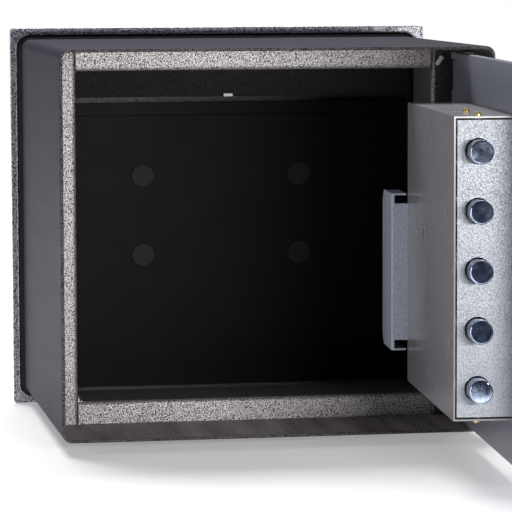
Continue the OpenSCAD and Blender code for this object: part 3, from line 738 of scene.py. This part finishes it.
# %% Geometry rules
class Rule(Graph):
    """A Geometry Nodes group with named inputs, one of them its finish."""

    def __init__(self, name, kinds):
        super().__init__(bpy.data.node_groups.new(name, "GeometryNodeTree"))
        sockets = self.tree.interface
        self.ids = {}
        for label, kind in kinds.items():
            made = sockets.new_socket(name=label, in_out="INPUT", socket_type="NodeSocket" + kind)
            self.ids[label] = made.identifier
        sockets.new_socket(name="Geometry", in_out="OUTPUT", socket_type="NodeSocketGeometry")
        entry = self.tree.nodes.new("NodeGroupInput")
        self.given = {socket.name: Value(self, socket) for socket in entry.outputs if socket.name}

    def close(self, shape, smooth=False):
        last = self.node("GeometryNodeRealizeInstances", {}, {"Geometry": shape})
        if smooth:
            last = self.node("GeometryNodeSetShadeSmooth", {}, {"Geometry": last, "Shade Smooth": True})
        coat = {"Geometry": last, "Material": self.given["Finish"]}
        last = self.node("GeometryNodeSetMaterial", {}, coat)
        self.tree.links.new(last.socket, self.tree.nodes.new("NodeGroupOutput").inputs[0])


def grown(name, rule, values):
    """Runs a rule on an empty mesh and keeps the result as a plain mesh."""
    piece = bpy.data.objects.new(name, bpy.data.meshes.new(name))
    bpy.context.scene.collection.objects.link(piece)
    modifier = piece.modifiers.new("rule", "NODES")
    modifier.node_group = rule.tree
    for label, value in values.items():
        modifier[rule.ids[label]] = value
    return plain_mesh(piece)


# %% [markdown]
# ## Welds on the door frame
# The four members of the frame are tacked together at the doorway's corners. The weld at the top
# left is bare metal. The one at the top right carries the header's near-black paint as painted
# shade for the open door's shadow on that corner, and the two below carry the frame's silver. A
# weld is laid down as a row of overlapping drops: a line is cut into even steps, a flattened drop
# is set on each, and each drop is turned and sized a little differently. The drops are then
# melted into one skin.


# %% Drops along a line
def weld_rule():
    rule = Rule("weld_drops", {"Start": "Vector", "End": "Vector", "Drop": "Float", "Steps": "Int",
                               "Seed": "Int", "Finish": "Material"})
    given = rule.given
    ends = {"Start": given["Start"], "End": given["End"]}
    line = rule.node("GeometryNodeCurvePrimitiveLine", {"mode": "POINTS"}, ends)
    steps = {"Curve": line, "Count": given["Steps"]}
    row = rule.node("GeometryNodeResampleCurve", {"mode": "COUNT"}, steps)
    drop = rule.node("GeometryNodeMeshIcoSphere", {}, {"Radius": given["Drop"], "Subdivisions": 2})
    turned = rule.node("FunctionNodeRandomValue", {"data_type": "FLOAT_VECTOR"},
                       {"Min": (-0.5, -0.5, -3.1), "Max": (0.5, 0.5, 3.1), "Seed": given["Seed"]})
    sized = rule.node("FunctionNodeRandomValue", {"data_type": "FLOAT_VECTOR"},
                      {"Min": (0.75, 0.75, 0.6), "Max": (1.15, 1.15, 0.9), "Seed": given["Seed"]})
    rule.close(rule.node("GeometryNodeInstanceOnPoints", {},
                         {"Points": row, "Instance": drop, "Rotation": turned, "Scale": sized}))
    return rule


def melt(piece, voxel):
    """One skin over shapes that overlap."""
    remesh = piece.modifiers.new("melt", "REMESH")
    remesh.mode = "VOXEL"
    remesh.voxel_size = voxel
    finish = piece.data.materials[0]
    plain_mesh(piece)
    piece.data.materials.clear()
    piece.data.materials.append(finish)
    piece.data.shade_smooth()
    return piece


# %% Lay the welds in the four corners
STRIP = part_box("frame_lock_side")[0].y
lock_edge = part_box("frame_lock_side")[1].x
hinge_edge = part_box("frame_hinge_side")[0].x
doorway_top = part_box("frame_top")[0].z
doorway_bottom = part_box("frame_bottom")[1].z
corners = [(-1, lock_edge, 1, doorway_top), (1, hinge_edge, 1, doorway_top),
           (-1, lock_edge, -1, doorway_bottom), (1, hinge_edge, -1, doorway_bottom)]
# The top-right weld wears the header's near-black paint as painted shade of the open door.
weld_coats = [weld_metal("weld_metal"), FINISHES["header_hammer"],
              FINISHES["frame_hammer"], FINISHES["frame_hammer"]]
OUTER_REACH = 9.5 * MM
INNER_ACROSS, INNER_UP = 6.0 * MM, 4.5 * MM
DROP_RADIUS, MELT_VOXEL = 2.5 * MM, 0.35 * MM
FIRST_SEED = 11
drops = weld_rule()
beads = []
for index, (side, x, up, z) in enumerate(corners):
    bead = grown(f"corner_weld_{index + 1}", drops, {
        "Start": Vector((x + side * OUTER_REACH, STRIP, z + up * OUTER_REACH)),
        "End": Vector((x + side * INNER_ACROSS, STRIP, z + up * INNER_UP)),
        "Drop": DROP_RADIUS, "Steps": 5, "Seed": FIRST_SEED + index, "Finish": weld_coats[index],
    })
    beads.append(melt(bead, MELT_VOXEL))
    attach(bead, "body")
print("welds:", [len(bead.data.polygons) for bead in beads], "faces")

# %% [markdown]
# The inner corners of the doorway are not square. The weld there is dressed to a hollow radius, a
# small one above and a larger one below. Each fillet is a three-sided plate with one side curved in.


# %% Corner fillets
def extruded(outline, depth_from, depth_to):
    """A flat outline in X and Z, given thickness along Y, as a closed solid."""
    work = bmesh.new()
    front = [work.verts.new((x, depth_from, z)) for x, z in outline]
    back = [work.verts.new((x, depth_to, z)) for x, z in outline]
    work.faces.new(front)
    work.faces.new(reversed(back))
    for k in range(len(front)):
        after = (k + 1) % len(front)
        work.faces.new((front[k], back[k], back[after], front[after]))
    bmesh.ops.recalc_face_normals(work, faces=work.faces)
    mesh = bpy.data.meshes.new("plate")
    work.to_mesh(mesh)
    work.free()
    return mesh


LEG_ABOVE, LEG_BELOW = 1.5 * MM, 7.0 * MM
FILLET_SUNK, FILLET_BACK, FILLET_THICK = 0.3 * MM, 0.6 * MM, 4 * MM
FILLET_STEPS = 8
for index, (side, x, up, z) in enumerate(corners):
    leg = LEG_ABOVE if up > 0 else LEG_BELOW
    outline = [(x + side * FILLET_SUNK, z + up * FILLET_SUNK)]
    for k in range(FILLET_STEPS + 1):
        a = math.radians(90 * k / FILLET_STEPS)
        outline.append((x - side * leg * (1 - math.sin(a)), z - up * leg * (1 - math.cos(a))))
    depth = STRIP + FILLET_BACK
    plate = extruded(outline, depth, depth + FILLET_THICK)
    add_piece(f"corner_fillet_{index + 1}", plate, FINISHES["frame_hammer"], "body")
print("doorway", round((hinge_edge - lock_edge) / MM, 1), "mm wide")

# %% [markdown]
# ## Legends on the keys
# The keys carry plain digits and two telephone signs, printed in dark ink. Text is made from a
# font curve, turned into a mesh, and then laid on the key's front face: its own X runs towards the
# hinge side as seen from outside, its Y runs up, and its Z comes out of the door.


# %% Print a legend on a face of the door
def ink(name, colour):
    f = Finish(name)
    wear = f.noise(900, 2)
    return f.set(base_color=f.mix(wear, colour, tone(colour, 1.6)), roughness=0.5 + 0.1 * wear)


INK_DARK = ink("ink_dark", (0.02, 0.02, 0.024))
LEGEND_SIZE, INK_THICK = 9.5 * MM, 0.06 * MM


def facing_out(centre):
    """Turns flat work in X and Y so that it faces out of the door at a place on it."""
    turn = Matrix((-ALONG, UP, -INTO)).transposed().to_4x4()
    return Matrix.Translation(centre) @ turn


def printed(name, text, centre, body):
    curve = bpy.data.curves.new(name, "FONT")
    curve.body = text
    curve.size = LEGEND_SIZE
    curve.align_x = "CENTER"
    curve.align_y = "CENTER"
    curve.extrude = INK_THICK
    curve.resolution_u = 4
    holder = bpy.data.objects.new(name, curve)
    bpy.context.scene.collection.objects.link(holder)
    mesh = bpy.data.meshes.new_from_object(holder.evaluated_get(bpy.context.evaluated_depsgraph_get()))
    bpy.data.objects.remove(holder)
    mesh.transform(facing_out(centre))
    return add_piece(name, mesh, INK_DARK, body)


SIGNS = {"clear": "*", "enter": "#"}
for name in keys:
    low, high = door_box(name)
    label = name.split("_")[1]
    face = on_door((low.x + high.x) / 2, low.y, (low.z + high.z) / 2)
    printed("legend_" + label, SIGNS.get(label, label), face, body_of[name])
print("legends:", len(keys))

# %% [markdown]
# ## Keypad trim
# The display sits in a thin bright bezel, with two small lamps under it. A bezel is a rounded
# rectangle with a rounded rectangular hole. It is drawn as two outlines, joined by quads and given
# thickness.


# %% Rounded outlines and bezels
def rounded_outline(width, height, radius, steps=6):
    points = []
    for cx, cy, start in ((1, 1, 0), (-1, 1, 90), (-1, -1, 180), (1, -1, 270)):
        for k in range(steps + 1):
            a = math.radians(start + 90 * k / steps)
            points.append((cx * (width / 2 - radius) + radius * math.cos(a),
                           cy * (height / 2 - radius) + radius * math.sin(a)))
    return points


def bezel_mesh(width, height, radius, band, thick):
    """A frame with its back at zero and its front edge rounded, lying in X and Y."""
    inner = rounded_outline(width, height, radius)
    outer = rounded_outline(width + 2 * band, height + 2 * band, radius + band)
    rings = []
    for share, rise in ((0, 0), (0, 0.7), (0.2, 1), (0.8, 1), (1, 0.7), (1, 0)):
        rings.append([Vector((ix + (ox - ix) * share, iy + (oy - iy) * share, thick * rise))
                      for (ix, iy), (ox, oy) in zip(inner, outer)])
    return closed_sweep([list(station) for station in zip(*rings)])


window_lo, window_hi = door_box("display_window")
window_size = window_hi - window_lo
bezel = bezel_mesh(window_size.x, window_size.z, radius=3 * MM, band=1.6 * MM, thick=0.9 * MM)
pad_front = door_box("keypad_housing")[0].y
window_mid = (window_lo + window_hi) / 2
bezel.transform(facing_out(on_door(window_mid.x, pad_front, window_mid.z)))
add_piece("display_bezel", bezel, FINISHES["lock_nickel"], "door")


def dome_mesh(radius, height, rings=5, sides=20):
    """A shallow dome on a flat base."""
    work = bmesh.new()
    layers = []
    for k in range(rings):
        a = math.radians(90 * k / rings)
        layer = [work.verts.new((radius * math.cos(a) * math.cos(math.tau * i / sides),
                                 radius * math.cos(a) * math.sin(math.tau * i / sides),
                                 height * math.sin(a))) for i in range(sides)]
        layers.append(layer)
    top = work.verts.new((0, 0, height))
    work.faces.new(reversed(layers[0]))
    for lower, upper in zip(layers, layers[1:]):
        for i in range(sides):
            j = (i + 1) % sides
            work.faces.new((lower[i], lower[j], upper[j], upper[i]))
    for i in range(sides):
        work.faces.new((layers[-1][i], layers[-1][(i + 1) % sides], top))
    mesh = bpy.data.meshes.new("dome")
    work.to_mesh(mesh)
    work.free()
    mesh.shade_smooth()
    return mesh


def lamp_paint(name, colour):
    f = Finish(name)
    cloud = f.noise(900, 2)
    return f.set(base_color=f.mix(cloud, colour, tone(colour, 1.3)), roughness=0.15 + 0.1 * cloud)


LAMP_RADIUS, LAMP_RISE = 1.8 * MM, 0.9 * MM
LAMP_OFFSET, LAMP_BELOW = 7 * MM, 5.5 * MM
for side, colour, label in ((-1, (0.35, 0.02, 0.02), "red"), (1, (0.03, 0.28, 0.05), "green")):
    dome = dome_mesh(LAMP_RADIUS, LAMP_RISE)
    place = on_door(window_mid.x + side * LAMP_OFFSET, pad_front, window_lo.z - LAMP_BELOW)
    dome.transform(facing_out(place))
    add_piece(f"status_lamp_{label}", dome, lamp_paint(f"lamp_{label}", colour), "door")
print("display", round(window_size.x / MM), "x", round(window_size.z / MM), "mm")

# %% [markdown]
# ## Knob
# The knob is moulded, with grip ribs round its base. The ribs are one thin round bar repeated round
# a circle: points on a circle, and a bar on each, sunk a little past its middle into the base. The
# knob turns, so all of this rides on the knob.


# %% Ribs round a circle
def rib_rule():
    rule = Rule("grip_ribs", {"Circle": "Float", "Ribs": "Int", "Rib": "Float", "Length": "Float",
                              "Finish": "Material"})
    given = rule.given
    circle = rule.node("GeometryNodeMeshCircle", {}, {"Vertices": given["Ribs"], "Radius": given["Circle"]})
    bar = rule.node("GeometryNodeMeshCylinder", {},
                    {"Vertices": 10, "Side Segments": 1, "Fill Segments": 1, "Radius": given["Rib"],
                     "Depth": given["Length"]})
    standing = rule.node("GeometryNodeInstanceOnPoints", {}, {"Points": circle, "Instance": bar})
    rule.close(standing, smooth=True)
    return rule


# %% Put the ribs on the knob
softened("turn_knob", 0.9, 3)
knob_lo, knob_hi = door_box("turn_knob")
knob_mid = (knob_lo + knob_hi) / 2
knob_radius = (knob_hi.z - knob_lo.z) / 2
base_front = door_box("spindle_bush")[0].y - 0.6 * MM
BASE_DEEP, RIB_SHORTER = 10 * MM, 3 * MM
RIBS, RIB_RADIUS, RIB_SUNK = 36, 0.9 * MM, 0.35 * MM
grip = grown("knob_ribs", rib_rule(), {
    "Circle": knob_radius - RIB_SUNK, "Ribs": RIBS, "Rib": RIB_RADIUS,
    "Length": BASE_DEEP - RIB_SHORTER, "Finish": FINISHES["knob_plastic"],
})
grip.data.transform(facing_out(on_door(knob_mid.x, base_front - BASE_DEEP / 2, knob_mid.z)))
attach(grip, "knob")
print("knob", round(2 * knob_radius / MM), "mm across, ribs", len(grip.data.polygons), "faces")

# %% [markdown]
# ## Felt mat
# The mat is a short felt, cut to lie between the walls. A plain slab has a hard edge, so the mat is
# a soft-edged sheet with a slow wave in it. Loose fibres stand out of it at random points, one thin
# three-sided hair on each, leaning by chance from a fixed seed.

# %% Mat sheet
mat_lo, mat_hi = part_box("floor_mat")
MAT_STEP = 6 * MM
WAVE_HEIGHT, WAVES_PER_METRE = 0.35 * MM, 25
TOP_BELOW, EDGE_DROP, BASE_ABOVE = 0.5 * MM, 0.9 * MM, 0.05 * MM


def mat_mesh():
    size = mat_hi - mat_lo
    across, deep = int(size.x / MAT_STEP), int(size.y / MAT_STEP)
    work = bmesh.new()

    def top(i, j):
        edge = min(i, j, across - i, deep - j)
        place = Vector((mat_lo.x + size.x * i / across, mat_lo.y + size.y * j / deep, 0))
        wave = WAVE_HEIGHT * noise.noise(place * WAVES_PER_METRE)
        drop = EDGE_DROP if edge == 0 else 0
        return place + UP * (mat_hi.z - TOP_BELOW + wave - drop)

    grid = [[work.verts.new(top(i, j)) for j in range(deep + 1)] for i in range(across + 1)]
    base = [[work.verts.new((v.co.x, v.co.y, mat_lo.z + BASE_ABOVE)) for v in row] for row in grid]
    for i in range(across):
        for j in range(deep):
            work.faces.new((grid[i][j], grid[i + 1][j], grid[i + 1][j + 1], grid[i][j + 1]))
            work.faces.new((base[i][j], base[i][j + 1], base[i + 1][j + 1], base[i + 1][j]))
    for i in range(across):
        work.faces.new((grid[i][0], base[i][0], base[i + 1][0], grid[i + 1][0]))
        work.faces.new((grid[i + 1][deep], base[i + 1][deep], base[i][deep], grid[i][deep]))
    for j in range(deep):
        work.faces.new((grid[0][j + 1], base[0][j + 1], base[0][j], grid[0][j]))
        work.faces.new((grid[across][j], base[across][j], base[across][j + 1], grid[across][j + 1]))
    bmesh.ops.recalc_face_normals(work, faces=work.faces)
    mesh = bpy.data.meshes.new("mat")
    work.to_mesh(mesh)
    work.free()
    mesh.shade_smooth()
    return mesh


mat = add_piece("felt_mat", mat_mesh(), FINISHES["mat_felt"], "body")
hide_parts("floor_mat")
print("mat sheet:", len(mat.data.polygons), "faces")


# %% Fibres on the mat
HAIR_TIP, HAIR_ROOT, HAIR_LENGTH = 0.02 * MM, 0.08 * MM, 1.6 * MM
HAIRS_PER_SQUARE_METRE = 60000.0
LEAN = 1.3


def fibre_rule():
    rule = Rule("felt_fibres", {"Sheet": "Object", "Per Area": "Float", "Length": "Float",
                                "Seed": "Int", "Finish": "Material"})
    given = rule.given
    sheet = rule.node("GeometryNodeObjectInfo", {}, {"Object": given["Sheet"]}, "Geometry")
    scattered = rule.node("GeometryNodeDistributePointsOnFaces", {},
                          {"Mesh": sheet, "Density": given["Per Area"], "Seed": given["Seed"]})
    hair = rule.node("GeometryNodeMeshCone", {},
                     {"Vertices": 3, "Side Segments": 1, "Fill Segments": 1,
                      "Radius Top": HAIR_TIP, "Radius Bottom": HAIR_ROOT, "Depth": given["Length"]})
    leaning = rule.node("FunctionNodeRandomValue", {"data_type": "FLOAT_VECTOR"},
                        {"Min": (-LEAN, -LEAN, 0), "Max": (LEAN, LEAN, 6.28), "Seed": given["Seed"]})
    rule.close(rule.node("GeometryNodeInstanceOnPoints", {},
                         {"Points": scattered, "Instance": hair, "Rotation": leaning}))
    return rule


fuzz = grown("felt_fibres", fibre_rule(), {
    "Sheet": mat, "Per Area": HAIRS_PER_SQUARE_METRE, "Length": HAIR_LENGTH, "Seed": 5,
    "Finish": FINISHES["mat_felt"],
})
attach(fuzz, "body")
print("mat with", len(fuzz.data.polygons), "fibre faces")

# %% [markdown]
# ## Room
# A pale floor and soft light. The main panel is low and close, a little to the right, so it reaches
# the frame's strips under the lip but not where the open door shades them. A panel on the left
# lights the side of the body and the inside of the door, and one overhead lights the top. The room
# itself is dim, which keeps the chrome dark, and shows white only to the camera.


# %% Floor
def pale_floor():
    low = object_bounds()[0]
    side, near, far = 6.0, -1.2, 6.0
    z = low[2] - 0.5 * MM
    mesh = bpy.data.meshes.new("floor")
    outline = [(-side, near, z), (side, near, z), (side, far, z), (-side, far, z)]
    mesh.from_pydata(outline, [], [(0, 1, 2, 3)])
    floor = bpy.data.objects.new("floor", mesh)
    bpy.context.scene.collection.objects.link(floor)
    f = Finish("floor_white")
    x, y, _ = f.axes()
    white = f.mix(f.noise(1.5, 2), (0.94, 0.94, 0.94), (0.96, 0.96, 0.96))
    far_off = (x * x + y * y).step(0.3, 4.0)
    glow = f.mix(far_off, (0.3, 0.3, 0.3), (1, 1, 1))
    mesh.materials.append(f.set(
        base_color=white, roughness=0.9, emission_color=glow, emission_strength=1.0))


pale_floor()

# %% Sky
sky = bpy.data.worlds.new("sky")
sky.use_nodes = True
graph = Graph(sky.node_tree)
background = sky.node_tree.nodes["Background"]
seen = graph.node("ShaderNodeLightPath", {}, {}, "Is Camera Ray")
DIM, WHITE = (0.06, 0.068, 0.09, 1), (1, 1, 1, 1)
room = {"Factor_Float": seen, "A_Color": DIM, "B_Color": WHITE}
blend = graph.node("ShaderNodeMix", {"data_type": "RGBA"}, room, 2)
graph.feed(background.inputs["Color"], blend)
bpy.context.scene.world = sky


# %% Lights
def soft_light(name, at, aim, width, height, power):
    data = bpy.data.lights.new(name, "AREA")
    data.shape = "RECTANGLE"
    data.size, data.size_y = width, height
    data.energy = power
    light = bpy.data.objects.new(name, data)
    bpy.context.scene.collection.objects.link(light)
    light.location = at
    light.rotation_euler = (Vector(aim) - Vector(at)).to_track_quat("-Z", "Y").to_euler()


doorway = Vector((0, DEEP, 0))
soft_light("key_panel", at=(0.34, -1.78, 0.125), aim=doorway, width=0.54, height=0.05, power=10.5)
soft_light("left_panel", at=(-2.45, -0.95, 0.5), aim=(0, -0.4, 0), width=0.6, height=1.4, power=10)
soft_light("top_panel", at=(0, 0.9, 2.2), aim=(0, -0.1, 0), width=2.4, height=1.4, power=105)
bpy.context.scene.view_settings.view_transform = "Standard"
print("room ready")
